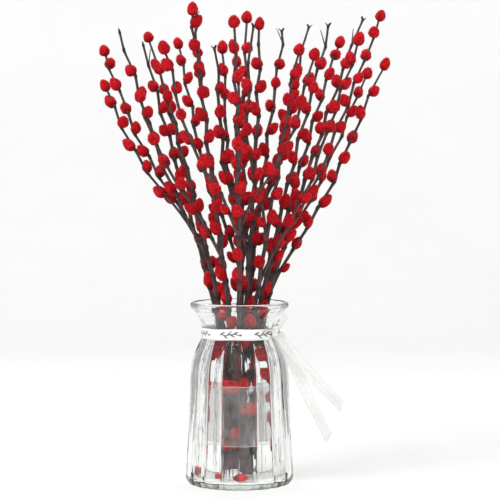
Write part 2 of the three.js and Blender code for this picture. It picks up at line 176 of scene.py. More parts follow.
# How strongly the print shows, and how much the cloth hides, on each part of the ribbon.
BAND_INK, BOW_INK, TAIL_INK = 0.88, 0.6, 0.12
FULL_COVER, BOW_COVER, TAIL_COVER = 1.0, 0.9, 0.45
TAIL_SLANT = 0.7
# Middle line of each tail: across, towards the back, and up.
TAIL_LINES = {
    "long": [[43.5, -27.5, 174], [47.5, -28.5, 165], [57, -27, 146], [69, -25.5, 122],
             [80, -27.5, 98], [91, -29, 76], [101.5, -27, 55]],
    "short": [[44, -29.5, 174], [50, -32, 165], [67, -33.5, 144], [79, -31, 130.5],
              [91, -30.5, 117], [104, -33, 104], [116, -32, 92]],
}


# ---------------------------------------------------------------- settings

class VaseSettings(bpy.types.PropertyGroup):
    flutes: bpy.props.IntProperty(
        name="Flutes", description="Round lobes of glass round the body", default=18, min=3)
    flute_depth: bpy.props.FloatProperty(
        name="Flute depth", description="Depth of the groove between two lobes",
        default=3.1 * MM, unit="LENGTH")
    tint: bpy.props.FloatVectorProperty(
        name="Tint", description="Colour that thick glass gives to light",
        default=(0.80, 0.86, 0.80), subtype="COLOR", size=3)
    film: bpy.props.FloatVectorProperty(
        name="Film", description="Colour of the sleeve of wrapping film",
        default=(0.38, 0.37, 0.37), subtype="COLOR", size=3)


class RibbonSettings(bpy.types.PropertyGroup):
    width: bpy.props.FloatProperty(
        name="Width", description="Width of the ribbon", default=12.5 * MM, unit="LENGTH")
    thickness: bpy.props.FloatProperty(
        name="Thickness", description="Thickness of the cloth", default=0.3 * MM, unit="LENGTH")
    cloth: bpy.props.FloatVectorProperty(
        name="Cloth", description="Colour of the satin", default=(0.98, 0.975, 0.96),
        subtype="COLOR", size=3)
    print: bpy.props.FloatVectorProperty(
        name="Print", description="Colour of the printed sprigs", default=(0.02, 0.02, 0.022),
        subtype="COLOR", size=3)


class WillowSettings(bpy.types.PropertyGroup):
    bark: bpy.props.FloatVectorProperty(
        name="Bark", description="Main colour of the stems", default=(0.050, 0.031, 0.031),
        subtype="COLOR", size=3)
    red: bpy.props.FloatVectorProperty(
        name="Catkin red", description="Main colour of the catkins", default=(0.60, 0.006, 0.013),
        subtype="COLOR", size=3)
    hairs: bpy.props.IntProperty(
        name="Hairs", description="Tufts of silky hair on each catkin", default=72, min=0)
    hair_length: bpy.props.FloatProperty(
        name="Hair length", description="Length of the tufts", default=2.0 * MM, unit="LENGTH")


class StageSettings(bpy.types.PropertyGroup):
    distance: bpy.props.FloatProperty(
        name="Camera distance", description="From the axis of the vase to the camera",
        default=2.2, unit="LENGTH")
    eye_height: bpy.props.FloatProperty(
        name="Eye height", description="Height of the camera over the floor", default=0.370,
        unit="LENGTH")
    daylight: bpy.props.FloatProperty(
        name="Daylight", description="Strength of the soft light from all round", default=0.37)


# ---------------------------------------------------------------- mesh helpers

def smooth_line(points, per_span):
    """Points on a cubic through the given ones. On each span the cubic starts and ends with
    the slope of the chord between the two neighbours, per unit of chord length."""
    p = np.asarray(points, float)
    s = np.concatenate([[0], np.cumsum(np.linalg.norm(np.diff(p, axis=0), axis=1))])
    slope = np.gradient(p, s, axis=0)
    slope[1:-1] = (p[2:] - p[:-2]) / (s[2:] - s[:-2])[:, None]
    span = np.diff(s)[:, None, None]
    t = (np.arange(per_span) / per_span)[None, :, None]
    start, end = p[:-1, None], p[1:, None]
    out, back = slope[:-1, None] * span, slope[1:, None] * span
    line = (
        start * (1 + 2 * t) * (1 - t) ** 2
        + out * t * (1 - t) ** 2
        + end * t ** 2 * (3 - 2 * t)
        + back * t ** 2 * (t - 1)
    )
    return np.vstack([line.reshape(-1, p.shape[1]), p[-1:]])


def unit(vectors):
    """The same vectors, held along the last axis, with a length of one."""
    return vectors / np.linalg.norm(vectors, axis=-1, keepdims=True)


def circle(columns):
    """Evenly spaced angles round a full turn, without the last, which is the first."""
    return TURN * np.arange(columns) / columns


def grid_faces(rows, columns, closed):
    """Quads between neighbouring points of a grid, with columns anticlockwise and rows
    upwards on an outward face. A closed grid joins its last column to its first."""
    row = np.arange(rows - 1)[:, None]
    column = np.arange(columns if closed else columns - 1)[None, :]
    beside = (column + 1) % columns
    corners = [row * columns + column, row * columns + beside,
               (row + 1) * columns + beside, (row + 1) * columns + column]
    return np.stack([np.broadcast_to(c, corners[0].shape).ravel() for c in corners], axis=1)


def pole_faces(rows, columns):
    """Triangles from the first and last rows of a closed grid to two pole points, which come
    after the grid in the list of vertices."""
    here = np.arange(columns)
    beside = (here + 1) % columns
    last = (rows - 1) * columns
    low = np.stack([np.full(columns, rows * columns), beside, here], axis=1)
    high = np.stack([np.full(columns, rows * columns + 1), last + here, last + beside], axis=1)
    return np.vstack([low, high])


def repeated(faces, copies, size):
    """The same faces for each of several copies of a shape of that many vertices."""
    return (faces[None] + size * np.arange(copies)[:, None, None]).reshape(-1, faces.shape[1])


def mesh_object(name, points, face_sets, materials, material_of=None, values=None):
    """An object at the origin from points in millimetres and arrays of quads and triangles.
    material_of gives each array its material; values are one number per point."""
    mesh = bpy.data.meshes.new(name)
    faces = [face for some in face_sets for face in some.tolist()]
    mesh.from_pydata((np.asarray(points) * MM).tolist(), [], faces)
    for material in materials:
        mesh.materials.append(material)
    if material_of is not None:
        worn = np.repeat(material_of, [len(some) for some in face_sets])
        mesh.polygons.foreach_set("material_index", worn.astype(np.int32))
    for key, numbers in (values or {}).items():
        layer = mesh.attributes.new(key, "FLOAT", "POINT")
        layer.data.foreach_set("value", np.asarray(numbers, np.float32))
    mesh.polygons.foreach_set("use_smooth", np.full(len(faces), True))
    mesh.update()
    mesh.validate()
    piece = bpy.data.objects.new(name, mesh)
    bpy.context.scene.collection.objects.link(piece)
    return piece


def settle(piece, slot, *nodes):
    """Lets a finished piece ride on the frame, and stand for its CAD nodes."""
    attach(piece, "root")
    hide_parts(*nodes)


# ---------------------------------------------------------------- shader helpers

def put(tree, value, socket):
    """Joins a socket to another, or sets its plain value."""
    if isinstance(value, bpy.types.NodeSocket):
        tree.links.new(value, socket)
    elif hasattr(value, "__len__") and len(value) == 3 and len(socket.default_value) == 4:
        socket.default_value = (*value, 1)
    else:
        socket.default_value = value


def add(tree, kind, sockets=None, **settings):
    """Adds one node, with its settings and the values or links of its inputs."""
    node = tree.nodes.new(kind)
    for key, value in settings.items():
        setattr(node, key, value)
    for key, value in (sockets or {}).items():
        put(tree, value, node.inputs[key])
    return node


def maths(tree, operation, *values):
    """The output of a Math node."""
    return add(tree, "ShaderNodeMath", dict(enumerate(values)), operation=operation).outputs[0]


def blend(tree, factor, low, high):
    """The colour between two, by a factor from 0 to 1."""
    node = add(tree, "ShaderNodeMix", data_type="RGBA")
    for socket, value in ((node.inputs[0], factor), (node.inputs[6], low), (node.inputs[7], high)):
        put(tree, value, socket)
    return node.outputs[2]


def ramp(tree, factor, low, high):
    """0 below the low value, 1 above the high one, and smooth between."""
    node = add(tree, "ShaderNodeMapRange", {"Value": factor, "From Min": low, "From Max": high},
               interpolation_type="SMOOTHSTEP")
    return node.outputs[0]


def group(name, inputs, outputs):
    """A new node group with its named sockets, and its input and output nodes."""
    tree = bpy.data.node_groups.new(name, "ShaderNodeTree")
    for key, kind, value in inputs:
        socket = tree.interface.new_socket(key, in_out="INPUT", socket_type=kind)
        if value is not None:
            socket.default_value = value
    for key, kind in outputs:
        tree.interface.new_socket(key, in_out="OUTPUT", socket_type=kind)
    return tree, tree.nodes.new("NodeGroupInput"), tree.nodes.new("NodeGroupOutput")


def use_group(tree, shared, sockets):
    """Places a shared group in a material with its own values."""
    node = add(tree, "ShaderNodeGroup", node_tree=shared)
    for key, value in sockets.items():
        put(tree, value, node.inputs[key])
    return node


VECTOR, FLOAT, COLOR = "NodeSocketVector", "NodeSocketFloat", "NodeSocketColor"


def mottle_group():
    """Uneven colour: a coarse and a fine noise, added, choose between a dark and a light
    colour. Value is the same pattern as a number."""
    if "mottle" in bpy.data.node_groups:
        return bpy.data.node_groups["mottle"]
    tree, start, end = group(
        "mottle",
        [("Vector", VECTOR, None), ("Scale", FLOAT, 200.0), ("Dark", COLOR, (0.2, 0.2, 0.2, 1)),
         ("Light", COLOR, (0.8, 0.8, 0.8, 1))],
        [("Color", COLOR), ("Value", FLOAT)])
    coarse = add(tree, "ShaderNodeTexNoise", {
        "Vector": start.outputs["Vector"], "Scale": start.outputs["Scale"], "Detail": 3.0})
    finer = maths(tree, "MULTIPLY", start.outputs["Scale"], 4.3)
    fine = add(tree, "ShaderNodeTexNoise", {
        "Vector": start.outputs["Vector"], "Scale": finer, "Detail": 2.0})
    half = maths(tree, "MULTIPLY", fine.outputs["Fac"], 0.5)
    whole = maths(tree, "ADD", maths(tree, "MULTIPLY", coarse.outputs["Fac"], 0.7), half)
    value = ramp(tree, whole, 0.42, 0.78)
    mixed = blend(tree, value, start.outputs["Dark"], start.outputs["Light"])
    put(tree, value, end.inputs["Value"])
    put(tree, mixed, end.inputs["Color"])
    return tree


def grain_group():
    """Fine relief: the noise of the given scale, as a bumped normal."""
    if "grain" in bpy.data.node_groups:
        return bpy.data.node_groups["grain"]
    tree, start, end = group(
        "grain",
        [("Vector", VECTOR, None), ("Scale", FLOAT, 900.0), ("Depth", FLOAT, 0.0002),
         ("Strength", FLOAT, 0.5)],
        [("Normal", VECTOR)])
    noise = add(tree, "ShaderNodeTexNoise", {
        "Vector": start.outputs["Vector"], "Scale": start.outputs["Scale"], "Detail": 3.0})
    bump = add(tree, "ShaderNodeBump", {
        "Height": noise.outputs["Fac"], "Distance": start.outputs["Depth"],
        "Strength": start.outputs["Strength"]})
    put(tree, bump.outputs[0], end.inputs["Normal"])
    return tree


def new_material(name, shader_sockets):
    """A material with a Principled shader, and its tree, shader and object coordinates."""
    material = bpy.data.materials.new(name)
    material.use_nodes = True
    tree = material.node_tree
    shader = tree.nodes["Principled BSDF"]
    for key, value in shader_sockets.items():
        put(tree, value, shader.inputs[key])
    place = tree.nodes.new("ShaderNodeTexCoord").outputs["Object"]
    return material, tree, shader, place


def attribute(tree, name):
    """A number that the mesh holds for each of its points."""
    return add(tree, "ShaderNodeAttribute", attribute_name=name).outputs["Fac"]


def stretched(tree, place, upright):
    """The place with its height scaled, so that a pattern on it runs up and down."""
    return add(tree, "ShaderNodeMapping", {
        "Vector": place, "Scale": (1.0, 1.0, upright)}).outputs[0]


def mottle(tree, place, scale, dark, light):
    """The outputs of the shared mottle: a colour between dark and light, and its value."""
    return use_group(tree, mottle_group(), {
        "Vector": place, "Scale": scale, "Dark": dark, "Light": light}).outputs


def relief(tree, shader, place, scale, depth, strength):
    """Gives a shader the normal of the shared grain."""
    grain = use_group(tree, grain_group(), {
        "Vector": place, "Scale": scale, "Depth": depth, "Strength": strength})
    put(tree, grain.outputs["Normal"], shader.inputs["Normal"])


def times(colour, *shares):
    """A colour with each channel multiplied by its share, or all by one, up to full."""
    shares = shares * 3 if len(shares) == 1 else shares
    return tuple(min(1.0, channel * share) for channel, share in zip(colour, shares))


# ---------------------------------------------------------------- materials

def glass_material(tint):
    """Clear pressed glass: faint upright streaks, tinted by its depth. Lamps shine through."""
    material, tree, shader, place = new_material("vase_glass", {
        "Base Color": (1.0, 1.0, 1.0), "Roughness": 0.015, "IOR": 1.5,
        "Transmission Weight": 1.0})
    relief(tree, shader, stretched(tree, place, 0.06), 110.0, 0.0016, 0.3)
    clear = add(tree, "ShaderNodeBsdfTransparent", {"Color": (0.93, 0.94, 0.935)})
    shadow = add(tree, "ShaderNodeLightPath").outputs["Is Shadow Ray"]
    both = add(tree, "ShaderNodeMixShader", {
        0: shadow, 1: shader.outputs[0], 2: clear.outputs[0]})
    end = tree.nodes["Material Output"]
    put(tree, both.outputs[0], end.inputs["Surface"])
    depth = add(tree, "ShaderNodeVolumeAbsorption", {"Color": tuple(tint), "Density": 14.0})
    put(tree, depth.outputs[0], end.inputs["Volume"])
    return material


def film_material(colour):
    """Thin creased wrapping film: milky where it is creased, clearer between, and bright
    along its cut edges, where a highlight is painted."""
    material, tree, shader, place = new_material("sleeve_film", {
        "Roughness": 0.25, "IOR": 1.4})
    upright = stretched(tree, place, 0.25)
    milk = mottle(tree, upright, 60.0, tuple(colour), times(colour, 1.5))
    edge = attribute(tree, "edge")
    # Painted highlight: along the cut edges the film's colour is blended to a pale grey.
    painted_edge_highlight = blend(tree, edge, milk["Color"], (0.85, 0.87, 0.87))
    put(tree, painted_edge_highlight, shader.inputs["Base Color"])
    cover = maths(tree, "MULTIPLY_ADD", milk["Value"], 0.16, 0.2)
    put(tree, maths(tree, "MULTIPLY_ADD", edge, 0.65, cover), shader.inputs["Alpha"])
    relief(tree, shader, upright, 120.0, 0.0008, 0.6)
    return material


def bark_material(colour):
    """Dry willow bark: long streaks along the stem, pale pores, and dark buds and nodes."""
    material, tree, shader, place = new_material("willow_bark", {
        "Roughness": 0.62, "Specular IOR Level": 0.35})
    upright = stretched(tree, place, 0.12)
    streaks = mottle(tree, upright, 420.0, times(colour, 0.45), times(colour, 2.2, 2.1, 2.0))
    pores = add(tree, "ShaderNodeTexVoronoi", {"Vector": place, "Scale": 420.0}, feature="F1")
    pore = maths(tree, "LESS_THAN", pores.outputs["Distance"], 0.16)
    spotted = blend(tree, maths(tree, "MULTIPLY", pore, 0.55), streaks["Color"],
                    (0.20, 0.15, 0.12))
    worn = blend(tree, attribute(tree, "node"), spotted, times(colour, 0.5))
    put(tree, worn, shader.inputs["Base Color"])
    relief(tree, shader, upright, 900.0, 0.0004, 0.7)
    return material


def catkin_material(colour):
    """Dense red velvet: each catkin has its own tone, and painted shade makes it darker at
    the foot and between the tufts, with a sheen like silk."""
    material, tree, shader, place = new_material("catkin_fur", {
        "Roughness": 0.85, "Specular IOR Level": 0.12, "Sheen Weight": 0.18,
        "Sheen Roughness": 0.4, "Sheen Tint": (1.0, 0.2, 0.22)})
    # The mottle is partly the catkins' uneven red. Its dark patches are partly painted shade between
    # the tufts, and its light ones partly a painted highlight on them.
    tufts = mottle(tree, place, 330.0, times(colour, 0.42, 0.5, 0.6), times(colour, 1.3, 1.8, 1.5))
    # Painted shade: towards its foot each catkin is blended to a dark red.
    foot_shade_ramp = ramp(tree, attribute(tree, "along"), 0.02, 0.42)
    painted_foot_shade = blend(tree, foot_shade_ramp, times(colour, 0.25, 0.4, 0.5), tufts["Color"])
    tone = blend(tree, attribute(tree, "tone"), painted_foot_shade, times(colour, 0.52, 0.3, 0.5))
    put(tree, tone, shader.inputs["Base Color"])
    relief(tree, shader, place, 1500.0, 0.0008, 0.9)
    return material


def hair_material(colour):
    """Silky tufts: the catkin's red at the root, lighter and pinker at the tip."""
    material, tree, shader, place = new_material("catkin_hair", {
        "Roughness": 0.7, "Specular IOR Level": 0.15, "Sheen Weight": 0.15,
        "Sheen Tint": (1.0, 0.35, 0.35)})
    shades = mottle(tree, place, 500.0, times(colour, 0.75, 1, 1), times(colour, 1.4, 2.5, 2.0))
    tip = maths(tree, "MULTIPLY", attribute(tree, "along"), 0.6)
    colour_along = blend(tree, tip, shades["Color"], (0.86, 0.07, 0.08))
    put(tree, colour_along, shader.inputs["Base Color"])
    return material


def sprig_group():
    """A small printed sprig, once in each repeat of the ribbon: a thin wavy stalk with five
    leaves on alternate sides and a round bud. A leaf is where a scaled distance is under 1."""
    tree, start, end = group("sprig", [("Vector", VECTOR, None)], [("Mask", FLOAT)])
    parts = add(tree, "ShaderNodeSeparateXYZ", {0: start.outputs["Vector"]})
    repeat = maths(tree, "FRACT", maths(tree, "DIVIDE", parts.outputs[0], 3.2))
    along = maths(tree, "MULTIPLY", maths(tree, "SUBTRACT", repeat, 0.5), 1.7)
    wave = maths(tree, "MULTIPLY", maths(tree, "SINE", maths(tree, "MULTIPLY", along, 9.0)), 0.035)
    middle = maths(tree, "MULTIPLY", maths(tree, "SUBTRACT", parts.outputs[1], 0.5), 0.75)
    up = maths(tree, "SUBTRACT", middle, wave)
    mask = maths(tree, "MULTIPLY",
                 maths(tree, "LESS_THAN", maths(tree, "ABSOLUTE", up), 0.03),
                 maths(tree, "LESS_THAN", maths(tree, "ABSOLUTE", along), 0.5))
    for across, side in ((-0.36, 1), (-0.2, -1), (-0.02, 1), (0.14, -1), (0.3, 1)):
        x = maths(tree, "SUBTRACT", along, across)
        y = maths(tree, "SUBTRACT", maths(tree, "MULTIPLY", up, float(side)), 0.10)
        lean = maths(tree, "SUBTRACT", x, maths(tree, "MULTIPLY", y, 0.9))
        far = maths(tree, "ADD", maths(tree, "POWER", maths(tree, "DIVIDE", lean, 0.062), 2.0),
                    maths(tree, "POWER", maths(tree, "DIVIDE", y, 0.115), 2.0))
        mask = maths(tree, "MAXIMUM", mask, maths(tree, "LESS_THAN", far, 1.0))
    x = maths(tree, "SUBTRACT", along, 0.53)
    bud = maths(tree, "ADD", maths(tree, "POWER", x, 2.0), maths(tree, "POWER", up, 2.0))
    mask = maths(tree, "MAXIMUM", mask, maths(tree, "LESS_THAN", bud, 0.0042))
    put(tree, mask, end.inputs["Mask"])
    return tree


def ribbon_material(colour, ink):
    """White satin ribbon: fine warp ridges, a corded edge and a printed sprig, all on the
    ribbon's own map, whose unit is its width."""
    material, tree, shader, _ = new_material("ribbon_satin", {
        "Roughness": 0.5, "Specular IOR Level": 0.4, "Sheen Weight": 0.25,
        "Sheen Tint": (1.0, 0.98, 0.95)})
    strip = add(tree, "ShaderNodeUVMap", uv_map="strip").outputs[0]
    sprig = use_group(tree, sprig_group(), {"Vector": strip})
    threads = mottle(tree, strip, 9.0, times(colour, 0.93), tuple(colour))
    inked = maths(tree, "MULTIPLY", sprig.outputs["Mask"], attribute(tree, "ink"))
    printed = blend(tree, inked, threads["Color"], tuple(ink))
    put(tree, printed, shader.inputs["Base Color"])
    put(tree, attribute(tree, "cover"), shader.inputs["Alpha"])
    warp, weft = (
        add(tree, "ShaderNodeTexWave", {"Vector": strip, "Scale": scale, "Distortion": 0.4},
            wave_type="BANDS", bands_direction=way)
        for way, scale in (("Y", 14.0), ("X", 9.0)))
    parts = add(tree, "ShaderNodeSeparateXYZ", {0: strip})
    aside = maths(tree, "ABSOLUTE", maths(tree, "SUBTRACT", parts.outputs[1], 0.5))
    edge = ramp(tree, aside, 0.44, 0.47)
    weave = maths(tree, "ADD", maths(tree, "MULTIPLY", warp.outputs["Fac"], 0.5),
                  maths(tree, "MULTIPLY", weft.outputs["Fac"], 0.3))
    height = maths(tree, "ADD", weave, edge)
    bump = add(tree, "ShaderNodeBump", {"Height": height, "Distance": 0.00012, "Strength": 0.8})
    put(tree, bump.outputs[0], shader.inputs["Normal"])
    return material


def made(name, build, *values):
    """The material of that name, built the first time it is asked for."""
    return bpy.data.materials.get(name) or build(*values)


# ---------------------------------------------------------------- growth of the bunch

def chance(*keys):
    """The same number between 0 and 1 for the same whole-number keys: a 32-bit hash."""
    value = 2166136261
    for key in keys:
        value = ((value ^ key) * 16777619) & 0xFFFFFFFF
        value = ((value ^ (value >> 13)) * 1540483477) & 0xFFFFFFFF
    return (value ^ (value >> 15)) / 4294967296


def fan_radius(height):
    """Radius of the bunch: constant in the vase, then growing evenly above the bend, with
    the corner rounded by the logarithm of one plus an exponential."""
    return FAN_BOUND + FAN_SPREAD * FAN_SOFTNESS * math.log1p(
        math.exp((height - FAN_BEND) / FAN_SOFTNESS))


def fork_node(index, parent):
    """The node of a branch that a side shoot grows from, as its place and stem radius."""
    places, radii, _ = branch_nodes(parent)
    k = int(np.argmax(places[:, 2] > FORK_LEAST + FORK_RANGE * chance(index, 12)))
    return places[k], radii[k]


def branch_nodes(index):
    """Places, stem radii and catkin sides of the nodes of one branch, from foot to tip. The
    branch keeps its share of the bunch's radius, turned by the twist below the neck, and
    steps aside at each node, away from its catkin. A side shoot starts at its fork."""
    across, depth, tip, _, parent = BRANCHES[index]
    lift = FOOT_LIFT_LEAST + (FOOT_LIFT_MOST - FOOT_LIFT_LEAST) * chance(index, 10)
    foot = STEM_FOOT + (0 if depth > STANDING_DEPTH else lift)
    base = STEM_BASE_RADIUS * (1 + chance(index, 3) / 3)
    if parent is not None:
        start, thick = fork_node(index, parent)
        foot, base = start[2], FORK_RADIUS * thick
    heights = [foot]
    height = foot + NODE_PITCH * (0.5 + chance(index, 1))
    while height < tip - NODE_PITCH * 0.7:
        heights.append(height)
        height += NODE_PITCH + NODE_PITCH_RANGE * chance(index, 2, len(heights))
    level = np.array([*heights, tip], float)
    k = np.arange(len(level))
    share = ((level - foot) / (tip - foot)) ** STEM_TAPER
    above = np.maximum(0, level - VASE_RIM) / FAN_HEIGHT
    jitter = np.array([chance(index, 6, int(i)) for i in k]) - 0.5
    side = TURN * chance(index, 5) + k * NODE_TURN + 0.5 * jitter
    kink = NODE_KINK * (0.25 + np.minimum(1, 2 * above))
    sway, bow = TURN * chance(index, 4), FAN_SWAY * above ** 2
    twist = TWIST_AT_FOOT * np.maximum(0, TWIST_TOP - level) / TWIST_TOP
    turn = math.atan2(depth, across) + twist
    out = math.hypot(across, depth) * np.array([fan_radius(z) for z in level])
    places = np.stack([
        out * np.cos(turn) + bow * math.cos(sway) - kink * np.cos(side),
        out * np.sin(turn) + bow * math.sin(sway) - kink * np.sin(side),
        level], axis=1)
    if parent is not None:
        t = np.clip((level - foot) / FORK_SPREAD, 0, 1)
        places += (start - places[0]) * (1 - t * t * (3 - 2 * t))[:, None]
    return places, base + (STEM_TIP_RADIUS - base) * share, side


def stem_balls(places, radii):
    """Balls along a stem, no further apart than the step, as centres and a radius."""
    found = []
    for k in range(1, len(places)):
        count = math.ceil(np.linalg.norm(places[k] - places[k - 1]) / BALL_STEP)
        t = (np.arange(count + 1) / count)[:, None]
        centre = places[k - 1] + (places[k] - places[k - 1]) * t
        radius = radii[k - 1] + (radii[k] - radii[k - 1]) * t
        found.append(np.hstack([centre, radius]))
    return np.vstack(found)


def catkin_balls(base, axis, length, width):
    """Three balls that stand for a catkin in the tests of clearance."""
    centre = base + axis * (CATKIN_BALLS[:, :1] * length)
    return np.hstack([centre, CATKIN_BALLS[:, 1:] * width])


def is_clear(balls, others):
    """Whether a catkin's balls keep their distance from the vase, the sleeve, the free
    columns and the balls of the other branches."""
    reach = np.hypot(balls[:, 0], balls[:, 1]) + balls[:, 3]
    low, high = balls[:, 2] - balls[:, 3], balls[:, 2] + balls[:, 3]
    inside = np.interp(balls[:, 2], VASE_CLEAR[:, 1], VASE_CLEAR[:, 0])
    in_vase = (low < VASE_RIM + CATKIN_CLEARANCE) & (reach > inside - CATKIN_CLEARANCE)
    beside = (high > SLEEVE_LOW) & (low < SLEEVE_HIGH)
    in_sleeve = beside & (reach > SLEEVE_INSIDE - CATKIN_CLEARANCE / 2)
    nearest = np.clip(balls[None, :, :3], FREE_COLUMNS[:, :1], FREE_COLUMNS[:, 1:])
    in_column = (np.linalg.norm(balls[None, :, :3] - nearest, axis=2) < balls[:, 3]).any(axis=0)
    if (in_vase | in_sleeve | in_column | (low < VASE_FLOOR + CATKIN_CLEARANCE)).any():
        return False
    apart = np.linalg.norm(balls[:, None, :3] - others[None, :, :3], axis=2)
    return not (apart < balls[:, None, 3] + others[None, :, 3] + CATKIN_CLEARANCE).any()


def place_catkin(index, k, nodes, others):
    """Base, axis, length and width of the catkin at a node, turned about the stem or shrunk
    until it is clear, or None."""
    places, radii, side = nodes
    at_tip = k == len(places) - 1
    start = k - 1 if at_tip else k
    along = places[start + 1] - places[start]
    along = along / np.linalg.norm(along)
    lean = CATKIN_TILT_LEAST + (CATKIN_TILT_MOST - CATKIN_TILT_LEAST) * chance(index, 11, k)
    tilt = CATKIN_TILT_TIP if at_tip else lean
    above = max(0.0, places[k][2] - VASE_RIM) / FAN_HEIGHT
    grown = LONGER_LEAST + LONGER_RANGE * chance(index, 7, k)
    grown = grown * (LONGER_AT_RIM - CATKIN_SHRINK * above)
    for size in SIZES:
        for turn in TURNS:
            angle = side[k] + turn
            out = np.array([math.cos(angle), math.sin(angle), 0.0])
            axis = out * math.sin(tilt) + along * math.cos(tilt)
            axis = axis / np.linalg.norm(axis)
            seat = -along * TIP_CATKIN_SEAT if at_tip else out * CATKIN_SEAT * radii[k]
            length = CATKIN_LENGTH * size * grown
            width = CATKIN_WIDTH * size * (WIDER_LEAST + WIDER_RANGE * chance(index, 8, k))
            balls = catkin_balls(places[k] + seat, axis, length, width)
            if is_clear(balls, others):
                return places[k] + seat, axis, length, width
    return None


def has_catkin(index, k, places):
    """Some nodes have lost their catkin, most of them in the vase. Bare and forked tips end
    in two nodes without one."""
    last = len(places) - 1
    if k == 0 or k > last - (0 if BRANCHES[index][3] == "catkin" else 2):
        return False
    kept = KEPT_IN_VASE if places[k][2] < VASE_RIM else KEPT_ABOVE
    return k == last or chance(index, 9, k) < kept


def grow_bunch():
    """The nodes and the catkins of every branch. Branches take turns, tip first, and each
    catkin avoids what is there already."""
    grown = [branch_nodes(index) for index in range(len(BRANCHES))]
    stems = [stem_balls(places, radii) for places, radii, _ in grown]
    placed = [np.zeros((0, 4)) for _ in BRANCHES]
    catkins = []
    for index, nodes in enumerate(grown):
        places = nodes[0]
        others = [*stems[:index], *stems[index + 1:], *placed[:index], *placed[index + 1:]]
        others = np.vstack(others)
        mine = {}
        for k in range(len(places) - 1, 0, -1):
            if has_catkin(index, k, places):
                found = place_catkin(index, k, nodes, others)
                if found:
                    mine[k] = found
                    placed[index] = np.vstack([placed[index], catkin_balls(*found)])
        catkins.append(mine)
    return grown, catkins


# ---------------------------------------------------------------- shapes of willow

def side_axes(axis):
    """Two unit vectors across each axis."""
    aside = np.cross(axis, [0.0, 0.0, 1.0])
    aside = np.where(np.linalg.norm(aside, axis=1, keepdims=True) < 1e-3, [1.0, 0.0, 0.0], aside)
    aside = unit(aside)
    return aside, np.cross(axis, aside)


def eggs(base, axis, length, width, profile, columns, ripple):
    """Closed egg shapes, one for each base. At share t along the axis the radius is the
    profile's times the width, rippled round and along by sines of the egg's own phase."""
    count, rows = len(base), len(profile)
    aside, ahead = side_axes(axis)
    angle = circle(columns)
    t, radius = profile[:, 0], profile[:, 1]
    phase = np.arange(count)[:, None, None] * 2.399
    wave = np.sin(2 * angle[None, None, :] + phase) + np.sin(
        3 * angle[None, None, :] + 9 * t[None, :, None] - 1.7 * phase)
    swell = (1 + ripple * wave)[..., None] * radius[None, :, None, None] * width[:, None, None, None]
    around = (np.cos(angle)[None, None, :, None] * aside[:, None, None, :]
              + np.sin(angle)[None, None, :, None] * ahead[:, None, None, :])
    centre = base[:, None, :] + axis[:, None, :] * (t[None, :, None] * length[:, None, None])
    body = (centre[:, :, None, :] + around * swell).reshape(count, rows * columns, 3)
    poles = np.stack([base, base + axis * length[:, None]], axis=1)
    points = np.concatenate([body, poles], axis=1)
    shares = np.concatenate([np.repeat(t, columns), [0.0, 1.0]])
    size = rows * columns + 2
    return (points.reshape(-1, 3), repeated(grid_faces(rows, columns, True), count, size),
            repeated(pole_faces(rows, columns), count, size), np.tile(shares, count), size)


CATKIN_PROFILE = np.array([
    [0.03, 0.19], [0.13, 0.39], [0.28, 0.51], [0.46, 0.535], [0.65, 0.48], [0.83, 0.34],
    [0.955, 0.15],
])
BUD_PROFILE = np.array([[0.08, 0.34], [0.35, 0.5], [0.65, 0.38], [0.9, 0.14]])
CATKIN_COLUMNS, BUD_COLUMNS = 9, 6
CATKIN_RIPPLE, BUD_RIPPLE = 0.045, 0.05
FUR_OVERHANG = 1.06
GOLDEN_ANGLE = 2.39996
HAIR_HALF_WIDTH = 0.34


def hairs(base, axis, length, width, count, hair_length):
    """Tufts on each catkin: the golden-angle spiral gives each one its place, and each is a
    thin triangle that leans from the surface towards the catkin's tip."""
    n = np.arange(count)
    t = 0.06 + 0.9 * (n + 0.5) / count
    angle = n * GOLDEN_ANGLE
    radius = np.interp(t, np.r_[0, CATKIN_PROFILE[:, 0], 1], np.r_[0, CATKIN_PROFILE[:, 1], 0])
    aside, ahead = side_axes(axis)
    out = (np.cos(angle)[None, :, None] * aside[:, None] + np.sin(angle)[None, :, None]
           * ahead[:, None])
    draw = np.random.default_rng(5)
    stray = draw.uniform(-0.35, 0.35, (len(base), count, 3))
    lean = (t - 0.35)[None, :, None]
    way = unit(out * (1 - 0.55 * np.abs(lean)) + axis[:, None] * (0.45 + lean) + stray)
    root = (base[:, None] + axis[:, None] * (t[None, :, None] * length[:, None, None])
            + out * (0.93 * radius[None, :, None] * width[:, None, None]))
    flat = unit(np.cross(way, out + 0.3 * stray))
    long = hair_length * draw.uniform(0.75, 1.25, (len(base), count, 1))
    half = flat * HAIR_HALF_WIDTH
    corners = np.stack([root - half, root + half, root + way * long], axis=2)
    faces = np.arange(len(base) * count * 3).reshape(-1, 3)
    shares = np.tile([0.0, 0.0, 1.0], len(base) * count)
    return corners.reshape(-1, 3), faces, shares


STEM_SHARES = np.array([0.0, 0.06, 0.16, 0.5, 0.84, 0.94])
STEM_COLUMNS = 8
NODE_SWELL, NODE_SWELL_REACH = 0.38, 2.6
# Bud scales. A cup's width is a share of its catkin's. How far a scale starts behind its
# node is its sink, and a closed bud leans by a share along the stem and one outwards.
CUP_LENGTH, CUP_WIDTH, CUP_SINK = 5.4, 0.36, 1.2
BUD_LENGTH, BUD_WIDTH, BUD_SINK, BUD_SEAT = 5.8, 2.5, 0.8, 0.4
BUD_ALONG, BUD_OUTWARDS = 0.9, 0.42
SPUR_LENGTH, SPUR_WIDTH, SPUR_SPREAD = 6.5, 1.7, 0.75


